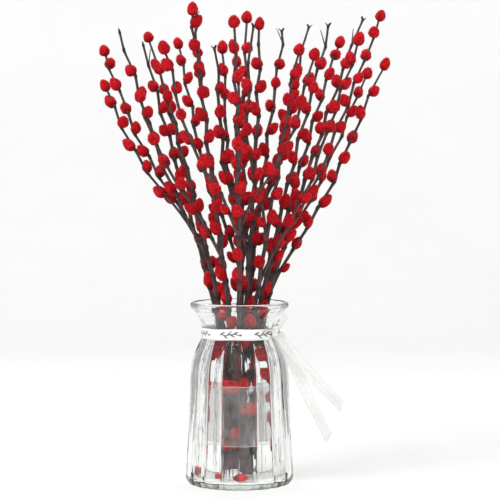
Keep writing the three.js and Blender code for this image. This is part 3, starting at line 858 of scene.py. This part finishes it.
def rod(places, radii, node_marks):
    """A closed rod through rings of the given radius at the given places."""
    angle = circle(STEM_COLUMNS)
    ring = np.stack([np.cos(angle), np.sin(angle), np.zeros(STEM_COLUMNS)], axis=1)
    body = (places[:, None] + ring[None] * radii[:, None, None]).reshape(-1, 3)
    rise = places[-1] - places[-2]
    top = places[-1] + rise / np.linalg.norm(rise) * radii[-1] * 1.5
    points = np.vstack([body, places[:1], top[None]])
    marks = np.concatenate([np.repeat(node_marks, STEM_COLUMNS), node_marks[[0, -1]]])
    rows = len(places)
    return points, grid_faces(rows, STEM_COLUMNS, True), pole_faces(rows, STEM_COLUMNS), marks


def stem_rod(places, radii):
    """The stem: straight between nodes, thicker just under and over each one by a bell
    curve of the distance from it."""
    steps = (places[1:] - places[:-1])[:, None] * STEM_SHARES[None, :, None]
    line = np.vstack([(places[:-1, None] + steps).reshape(-1, 3), places[-1:]])
    where = np.arange(len(line)) / len(STEM_SHARES)
    thin = np.interp(line[:, 2], places[:, 2], radii)
    gap = np.abs(line[:, 2][:, None] - places[None, :, 2]).min(axis=1)
    node = np.exp(-(gap / NODE_SWELL_REACH) ** 2) * (where > 0.5)
    return rod(line, thin * (1 + NODE_SWELL * node), node)


def prong_rod(places, side):
    """A bare second prong beside a forked tip, bent slightly outwards."""
    rings, base_radius, tip_radius = 6, 0.9, 0.45
    height, reach, curl = 18.8, 6.8, 1.2
    out = np.array([math.cos(side[-2]), math.sin(side[-2]), 0.0])
    t = np.linspace(0, 1, rings)[:, None]
    line = places[-2] + out * (reach * t + curl * t ** 2) + np.array([0, 0, height]) * t
    marks = np.r_[np.zeros(rings - 1), 1.0]
    return rod(line, np.linspace(base_radius, tip_radius, rings), marks)


def bud_rows(places, radii, side, mine, bare):
    """Base, axis, length and width of the bud scale at each node over the foot: a cup under
    each catkin, or a slim closed bud where there is none. A bare tip ends in two spurs."""
    base, axis, length, width = [], [], [], []
    for k in range(1, len(places)):
        along = places[k] - places[k - 1]
        along = along / np.linalg.norm(along)
        if k in mine:
            _, way, _, wide = mine[k]
            base.append(places[k] - way * CUP_SINK)
            length.append(CUP_LENGTH)
            width.append(CUP_WIDTH * wide)
        else:
            out = np.array([math.cos(side[k]), math.sin(side[k]), 0.0])
            way = along * BUD_ALONG + out * BUD_OUTWARDS
            way = way / np.linalg.norm(way)
            base.append(places[k] + out * radii[k] * BUD_SEAT - way * BUD_SINK)
            length.append(BUD_LENGTH)
            width.append(BUD_WIDTH)
        axis.append(way)
    if bare:
        for turn in (side[-1], side[-1] + math.pi):
            way = along + np.array([math.cos(turn), math.sin(turn), 0.0]) * SPUR_SPREAD
            axis.append(way / np.linalg.norm(way))
            base.append(places[-1] - along)
            length.append(SPUR_LENGTH)
            width.append(SPUR_WIDTH)
    return np.array(base), np.array(axis), np.array(length), np.array(width)


def join(parts):
    """One list of points, quads, triangles and marks out of several."""
    points, quads, triangles, marks, count = [], [], [], [], 0
    for more, fours, threes, numbers in parts:
        points.append(more)
        quads.append(fours + count)
        triangles.append(threes + count)
        marks.append(numbers)
        count += len(more)
    return np.vstack(points), np.vstack(quads), np.vstack(triangles), np.concatenate(marks)


def stem_parts(index, nodes, mine):
    """The bark of one branch: stem, bud scales and, on some, the second prong."""
    places, radii, side = nodes
    ending = BRANCHES[index][3]
    parts = [stem_rod(places, radii)]
    if ending == "forked":
        parts.append(prong_rod(places, side))
    buds = bud_rows(places, radii, side, mine, ending != "catkin")
    points, quads, poles, _, _ = eggs(*buds, BUD_PROFILE, BUD_COLUMNS, BUD_RIPPLE)
    return [*parts, (points, quads, poles, np.full(len(points), 1.0))]


def catkin_piece(name, found, settings, first):
    """Furry catkins: egg bodies and tufts of hair in one mesh. tone darkens about half of
    the catkins, each by its own amount."""
    base, axis, length, width = (np.array(column) for column in zip(*found))
    furry = FUR_OVERHANG * length
    points, quads, poles, shares, size = eggs(
        base, axis, furry, width, CATKIN_PROFILE, CATKIN_COLUMNS, CATKIN_RIPPLE)
    tips, blades, along = hairs(
        base, axis, furry, width, settings.hairs, settings.hair_length / MM)
    tone = np.array([max(0.0, chance(first, 20, i) - 0.45) for i in range(len(base))])
    tones = np.concatenate([np.repeat(tone, size), np.repeat(tone, settings.hairs * 3)])
    fur = made("catkin_fur", catkin_material, settings.red)
    hair = made("catkin_hair", hair_material, settings.red)
    return mesh_object(
        name, np.vstack([points, tips]), [quads, poles, blades + len(points)], [fur, hair],
        material_of=[0, 0, 1], values={"along": np.concatenate([shares, along]), "tone": tones})


# ---------------------------------------------------------------- operators

class WILLOW_OT_vase(bpy.types.Operator):
    """Turns the fluted glass vase: a profile carried round the axis, with each flute's lobe
    cut back from the crest as one minus the root of one minus a squared distance"""

    bl_idname = "willow.vase"
    bl_label = "Vase"

    def execute(self, context):
        settings = context.scene.willow_vase
        per_flute, per_span = 18, 6
        columns = settings.flutes * per_flute
        profile = smooth_line([*UNDERSIDE, *OUTSIDE, *INSIDE], per_span)[1:-1]
        first, last = len(UNDERSIDE) * per_span, (len(UNDERSIDE) + len(OUTSIDE)) * per_span
        row = np.arange(1, len(profile) + 1)
        outside = (row >= first - per_span) & (row < last)
        height = profile[:, 1]
        fade = np.clip((FLUTE_TOP - height) / FLUTE_FADE, 0, 1)
        foot = FOOT_SHARE + (1 - FOOT_SHARE) * np.clip(height / FLUTE_FOOT, 0, 1)
        depth = settings.flute_depth / MM * outside * fade ** 0.8 * (2 - fade) * foot
        angle = circle(columns)
        offset = np.abs((np.arange(columns) / per_flute) % 1 - 0.5) * 2
        lobe = 1 - np.sqrt(1 - 0.96 * (1 - offset) ** 2)
        radius = profile[:, 0][:, None] - depth[:, None] * lobe[None, :]
        points = np.stack([
            radius * np.cos(angle), radius * np.sin(angle),
            np.repeat(height[:, None], columns, axis=1)], axis=2).reshape(-1, 3)
        poles = [[0, 0, UNDERSIDE[0][1]], [0, 0, INSIDE[-1][1]]]
        rows = len(profile)
        glass = made("vase_glass", glass_material, settings.tint)
        vase = mesh_object("vase_glass", np.vstack([points, poles]),
                           [grid_faces(rows, columns, True), pole_faces(rows, columns)], [glass])
        settle(vase, "glass", "vase")
        return {"FINISHED"}


class WILLOW_OT_sleeve(bpy.types.Operator):
    """Rolls the film sleeve: a tube whose edge laps over itself, creased by sines"""

    bl_idname = "willow.sleeve"
    bl_label = "Film sleeve"

    def execute(self, context):
        low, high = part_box("film_sleeve")
        rows, columns, lap = 24, 150, 0.5
        turn = np.linspace(0, TURN + lap, columns)[None, :]
        share = np.concatenate([[0, 0.012], np.linspace(0.06, 0.94, rows - 4), [0.988, 1]])
        height = (low.z + (high.z - low.z) * share)[:, None] / MM
        mean = high.x / MM - 0.55
        wander = 0.25 * np.sin(7 * turn + 1) * np.sin(3.1 * turn)
        crease = 0.22 * np.sin(11 * turn + height / 9) + 0.18 * np.sin(23 * turn - height / 5)
        radius = mean + 0.35 * turn / TURN + crease
        points = np.stack([
            radius * np.cos(turn), radius * np.sin(turn), height + wander], axis=2).reshape(-1, 3)
        film = made("sleeve_film", film_material, context.scene.willow_vase.film)
        # edge marks the first and last rows, where the film material paints a highlight.
        edge = np.repeat(np.isin(share, [0, 1]).astype(float), columns)
        sleeve = mesh_object("film_sleeve_sheet", points, [grid_faces(rows, columns, False)],
                             [film], values={"edge": edge})
        settle(sleeve, "film", "film_sleeve")
        return {"FINISHED"}


def strip_piece(name, line, across, settings, ink, cover, slant=0.0):
    """A ribbon along a line: each row runs from one edge to the other along its own across
    vector, slightly hollow, and the last rows are drawn out for a slanted cut. The map's
    first number is the length along the line and its second goes across, both in widths.
    ink is how strongly the print shows on the side in view, and cover is how much the cloth
    hides: the hanging ends are one sheer layer."""
    width, columns = settings.width / MM, 7
    v = np.linspace(-0.5, 0.5, columns)
    along = unit(np.gradient(line, axis=0))
    face = np.cross(along, across)
    s = np.concatenate([[0], np.cumsum(np.linalg.norm(np.diff(line, axis=0), axis=1))])
    hollow = 0.5 * (0.25 - v ** 2)[None, :, None] * face[:, None]
    drawn = slant * width * (s / s[-1])[:, None, None] ** 6 * v[None, :, None] * along[:, None]
    points = line[:, None] + across[:, None] * (v[None, :, None] * width) + hollow + drawn
    quads = grid_faces(len(line), columns, False)
    satin = made("ribbon_satin", ribbon_material, settings.cloth, settings.print)
    piece = mesh_object(name, points.reshape(-1, 3), [quads], [satin],
                        values={"ink": np.full(len(line) * columns, ink),
                                "cover": np.full(len(line) * columns, cover)})
    grid = np.stack(np.broadcast_arrays(s[:, None] / width, v[None, :] + 0.5), axis=2)
    layer = piece.data.uv_layers.new(name="strip")
    layer.data.foreach_set("uv", grid.reshape(-1, 2)[quads.ravel()].astype(np.float32).ravel())
    cloth = piece.modifiers.new("cloth", "SOLIDIFY")
    cloth.thickness = settings.thickness
    cloth.offset = 0.0
    return piece, s[-1] * MM


class WILLOW_OT_ribbon(bpy.types.Operator):
    """Ties the ribbon: a band round the neck, a pleated knot, one bow loop and two tails"""

    bl_idname = "willow.ribbon"
    bl_label = "Ribbon"

    def execute(self, context):
        settings = context.scene.willow_ribbon
        width = settings.width / MM
        self.band(settings, width)
        self.knot(settings)
        self.bow(settings)
        for which, points in TAIL_LINES.items():
            self.tail(settings, which, points)
        return {"FINISHED"}

    def band(self, settings, width):
        """The band lies on the neck: its middle is a circle, and its width follows the glass
        between the radii at its two edges."""
        turn = KNOT_ANGLE + np.linspace(0, TURN + 0.1, 220)
        heights = [BAND_LOW, BAND_LOW + width]
        glass = np.array(sorted((z, r) for r, z in OUTSIDE))
        low, high = np.interp(heights, glass[:, 0], glass[:, 1]) + 0.45
        out = np.stack([np.cos(turn), np.sin(turn), np.zeros(len(turn))], axis=1)
        wander = 0.35 * np.sin(3 * turn) + 0.2 * np.sin(7 * turn + 1)
        line = out * (low + high) / 2
        line = line + np.array([0, 0, 1.0]) * (np.mean(heights) + wander)[:, None]
        across = unit(out * (high - low) / width + np.array([0, 0, 1.0]))
        band, length = strip_piece("ribbon_neck_band", line, across, settings,
                                   BAND_INK, FULL_COVER)
        settle(band, "ribbon", "ribbon_band")

    def knot(self, settings):
        """An egg whose radius is pleated by a sine of the angle round the ribbon's run."""
        rows, columns = 22, 36
        up = np.linspace(-0.96, 0.96, rows)[:, None] * math.pi / 2
        turn = circle(columns)[None, :]
        pleat = 1 + 0.06 * np.sin(9 * up + 1.2 * np.sin(turn)) + 0.05 * np.sin(3 * turn)
        local = np.stack([
            4.3 * np.cos(up) * np.cos(turn) * pleat, 6.8 * np.cos(up) * np.sin(turn) * pleat,
            np.broadcast_to(6.2 * np.sin(up), (rows, columns)) * pleat], axis=2).reshape(-1, 3)
        local = np.vstack([local, [[0, 0, -6.0], [0, 0, 6.0]]])
        local[:, 0] += KNOT_DISTANCE
        cos, sin = math.cos(KNOT_ANGLE), math.sin(KNOT_ANGLE)
        points = np.stack([local[:, 0] * cos - local[:, 1] * sin,
                           local[:, 0] * sin + local[:, 1] * cos,
                           local[:, 2] + KNOT_HEIGHT], axis=1)
        satin = made("ribbon_satin", ribbon_material, settings.cloth, settings.print)
        quads, poles = grid_faces(rows, columns, True), pole_faces(rows, columns)
        knot = mesh_object("ribbon_tied_knot", points, [quads, poles], [satin],
                           values={"ink": np.full(len(points), BOW_INK),
                                   "cover": np.full(len(points), FULL_COVER)})
        corners = np.concatenate([quads.ravel(), poles.ravel()])
        grid = np.stack([local[:, 1] / 12.5 + 0.9, local[:, 2] / 14 + 0.5], axis=1)
        layer = knot.data.uv_layers.new(name="strip")
        layer.data.foreach_set("uv", grid[corners].astype(np.float32).ravel())
        settle(knot, "ribbon", "ribbon_knot")

    def bow(self, settings):
        """The loop runs up beside the collar. Smooth lines carry its middle and the way of its
        width through the rows of the table, which are turned into place."""
        rows = smooth_line(BOW_ROWS, 7)
        out = np.array([math.cos(BOW_ANGLE), math.sin(BOW_ANGLE), 0.0])
        side = np.array([-out[1], out[0], 0.0])
        run = side * math.cos(BOW_RISE) + np.array([0, 0, math.sin(BOW_RISE)])
        turned = np.array([run, np.cross(run, out), out])
        middle = out * BOW_OUT + side * BOW_ALONG + np.array([0, 0, BOW_HEIGHT])
        bow, length = strip_piece("ribbon_bow", rows[:, :3] @ turned + middle,
                                  rows[:, 3:] @ turned, settings, BOW_INK, BOW_COVER)
        settle(bow, "ribbon", "ribbon_bow_loop")

    def tail(self, settings, which, points):
        """A tail hangs from the knot, its width across the line in the plane of the front,
        turned a little by a sine along its length."""
        line = smooth_line(points, 8)
        along = unit(np.gradient(line, axis=0))
        t = np.linspace(0, 1, len(line))[:, None]
        facing = np.array([0.0, -1.0, 0.0]) + np.array([0.5, 0, 0.2]) * np.sin(5 * t + 0.4)
        across = unit(np.cross(along, facing))
        tail, length = strip_piece(f"ribbon_{which}_end", line, across, settings, TAIL_INK,
                                   TAIL_COVER, slant=TAIL_SLANT)
        settle(tail, "ribbon", f"ribbon_tail_{which}")


class WILLOW_OT_branches(bpy.types.Operator):
    """Grows the branches: a kinked stem with buds, and its furry catkins, for each"""

    bl_idname = "willow.branches"
    bl_label = "Branches"

    def execute(self, context):
        settings = context.scene.willow_growth
        grown, catkins = grow_bunch()
        for index, branch in enumerate(BRANCHES):
            if branch[4] is None:
                family = [i for i, other in enumerate(BRANCHES) if index in (i, other[4])]
                self.family(settings, index, family, grown, catkins)
        return {"FINISHED"}

    def family(self, settings, index, family, grown, catkins):
        """A branch and its side shoots, as one piece of bark and one of catkins."""
        number = f"{index + 1:02d}"
        parts = [part for i in family for part in stem_parts(i, grown[i], catkins[i])]
        points, quads, poles, marks = join(parts)
        bark = made("willow_bark", bark_material, settings.bark)
        stem = mesh_object(f"stem_{number}", points, [quads, poles], [bark],
                           values={"node": marks})
        settle(stem, "willow", f"branch_{number}")
        found = [catkin for i in family for catkin in catkins[i].values()]
        settle(catkin_piece(f"catkins_{number}", found, settings, index), "catkin",
               f"branch_{number}")


class WILLOW_OT_fallen(bpy.types.Operator):
    """Lays the fallen catkins on the floor of the vase"""

    bl_idname = "willow.fallen"
    bl_label = "Fallen catkins"

    def execute(self, context):
        settings = context.scene.willow_growth
        for number, (across, depth, degrees) in enumerate(FALLEN, start=1):
            turn = math.radians(degrees)
            axis = np.array([math.cos(turn), math.sin(turn), 0.0])
            lift = VASE_FLOOR + 0.3 + CATKIN_WIDTH / 2
            base = np.array([across, depth, lift]) - axis * CATKIN_LENGTH / 2
            found = [(base, axis, CATKIN_LENGTH, CATKIN_WIDTH * 0.96)]
            piece = catkin_piece(f"dropped_catkin_{number}", found, settings, 90 + number)
            settle(piece, "catkin", f"fallen_catkin_{number}")
        return {"FINISHED"}


# Name, place and target in metres, size in metres and power in watts.
LAMPS = [
    ("key_softbox", (-1.0, -1.1, 1.6), (0.0, 0.0, 0.32), 1.3, 27.0),
    ("fill_softbox", (1.4, -1.2, 0.8), (0.0, 0.0, 0.30), 1.2, 12.0),
    ("top_softbox", (0.1, 0.3, 1.9), (0.0, 0.0, 0.30), 1.0, 8.0),
    ("left_backdrop_light", (-1.6, 0.9, 1.5), (0.3, 2.6, 0.7), 1.2, 12.0),
    ("right_backdrop_light", (1.6, 0.9, 1.5), (-0.3, 2.6, 0.7), 1.2, 12.0),
]
# Name, and the two ends on the floor in millimetres.
CARDS = [
    ("left_card", (-420, -900), (-560, 1500)),
    ("right_card", (420, -900), (560, 1500)),
    ("near_left_card", (-420, -900), (-90, -1500)),
    ("near_right_card", (420, -900), (90, -1500)),
]


class WILLOW_OT_stage(bpy.types.Operator):
    """Sets the stage: a white sweep of paper, soft lights, grey cards and the camera"""

    bl_idname = "willow.stage"
    bl_label = "Stage"

    def execute(self, context):
        settings = context.scene.willow_stage
        self.paper()
        self.sky(context, settings.daylight)
        for lamp in LAMPS:
            self.lamp(*lamp)
        for card in CARDS:
            self.card(*card)
        self.camera(context, settings)
        return {"FINISHED"}

    def paper(self):
        """A floor that curves up into a backdrop: a profile of a flat run, a quarter circle
        and an upright, carried sideways. From behind, the paper is clear."""
        turn = np.linspace(0, math.pi / 2, 24)
        bend, floor_end, top, gap = 900.0, 1600.0, 3600.0, 0.15
        floor_start, half_width = -2600.0, 3400.0
        depth = np.concatenate([[floor_start, 0], floor_end + bend * np.sin(turn), [floor_end + bend]])
        rise = np.concatenate([[0, 0], bend - bend * np.cos(turn), [top]])
        side = np.array([-half_width, half_width])
        points = np.stack(np.broadcast_arrays(
            side[None, :], depth[:, None], rise[:, None] - gap), axis=2).reshape(-1, 3)
        material, tree, shader, place = new_material("white_paper", {
            "Roughness": 0.9, "Specular IOR Level": 0.1})
        tone = mottle(tree, place, 3.0, (0.905, 0.91, 0.905), (0.92, 0.925, 0.92))
        put(tree, tone["Color"], shader.inputs["Base Color"])
        behind = add(tree, "ShaderNodeNewGeometry").outputs["Backfacing"]
        put(tree, maths(tree, "SUBTRACT", 1.0, behind), shader.inputs["Alpha"])
        quads = grid_faces(len(depth), 2, False)
        mesh_object("paper_sweep", points, [quads], [material])

    def sky(self, context, strength):
        """Plain white light from all round."""
        world = bpy.data.worlds.new("studio")
        world.use_nodes = True
        background = world.node_tree.nodes["Background"]
        background.inputs["Color"].default_value = (1.0, 1.0, 1.0, 1)
        background.inputs["Strength"].default_value = strength
        context.scene.world = world

    def lamp(self, name, place, target, size, power):
        """A square soft light, turned to its target."""
        light = bpy.data.lights.new(name, "AREA")
        light.size = size
        light.energy = power
        lamp = bpy.data.objects.new(name, light)
        lamp.location = place
        lamp.rotation_euler = (Vector(target) - Vector(place)).to_track_quat("-Z", "Y").to_euler()
        bpy.context.scene.collection.objects.link(lamp)

    def card(self, name, start, end):
        """A grey upright card between two places on the floor, seen only in glass, which
        gets its grey lines from it."""
        top = 900
        points = [[*start, 0], [*end, 0], [*end, top], [*start, top]]
        material, tree, shader, place = new_material(name, {"Roughness": 1.0})
        tone = mottle(tree, place, 2.0, (0.34, 0.345, 0.34), (0.46, 0.465, 0.46))
        put(tree, tone["Color"], shader.inputs["Base Color"])
        card = mesh_object(name, points, [np.array([[0, 1, 2, 3]])], [material])
        card.visible_camera = False
        card.visible_diffuse = False
        card.visible_shadow = False

    def camera(self, context, settings):
        """The view is 570 mm wide at the axis, and centred a little to the right of it."""
        view_width, middle, across, sensor = 0.570, 0.2672, 0.012, 36.0
        data = bpy.data.cameras.new("camera")
        data.sensor_width = sensor
        data.lens = sensor * settings.distance / view_width
        camera = bpy.data.objects.new("camera", data)
        place = Vector((across, -settings.distance, settings.eye_height))
        camera.location = place
        aim = Vector((across, 0.0, middle)) - place
        camera.rotation_euler = aim.to_track_quat("-Z", "Y").to_euler()
        context.scene.collection.objects.link(camera)
        context.scene.camera = camera
        context.scene.view_settings.view_transform = "Standard"
        context.scene.cycles.transparent_max_bounces = 24
        context.scene.cycles.transmission_bounces = 16
        context.scene.cycles.max_bounces = 20


class WILLOW_PT_panel(bpy.types.Panel):
    """Lists the steps in the sidebar"""

    bl_idname = "WILLOW_PT_panel"
    bl_label = "Willow bunch"
    bl_space_type = "VIEW_3D"
    bl_region_type = "UI"
    bl_category = "Willow"

    def draw(self, context):
        for step in STEPS:
            self.layout.operator(step.bl_idname)
        for settings in (context.scene.willow_vase, context.scene.willow_ribbon,
                         context.scene.willow_growth, context.scene.willow_stage):
            box = self.layout.box()
            for name in settings.__annotations__:
                box.prop(settings, name)


SETTINGS = {
    "willow_vase": VaseSettings,
    "willow_ribbon": RibbonSettings,
    "willow_growth": WillowSettings,
    "willow_stage": StageSettings,
}
STEPS = (WILLOW_OT_stage, WILLOW_OT_vase, WILLOW_OT_sleeve, WILLOW_OT_branches,
         WILLOW_OT_fallen, WILLOW_OT_ribbon)


def register():
    for name, settings in SETTINGS.items():
        bpy.utils.register_class(settings)
        setattr(bpy.types.Scene, name, bpy.props.PointerProperty(type=settings))
    for step in STEPS:
        bpy.utils.register_class(step)
    bpy.utils.register_class(WILLOW_PT_panel)


def unregister():
    bpy.utils.unregister_class(WILLOW_PT_panel)
    for step in reversed(STEPS):
        bpy.utils.unregister_class(step)
    for name, settings in reversed(SETTINGS.items()):
        delattr(bpy.types.Scene, name)
        bpy.utils.unregister_class(settings)


def main():
    register()
    for step in STEPS:
        area, name = step.bl_idname.split(".")
        getattr(getattr(bpy.ops, area), name)()


if __name__ == "__main__":
    main()
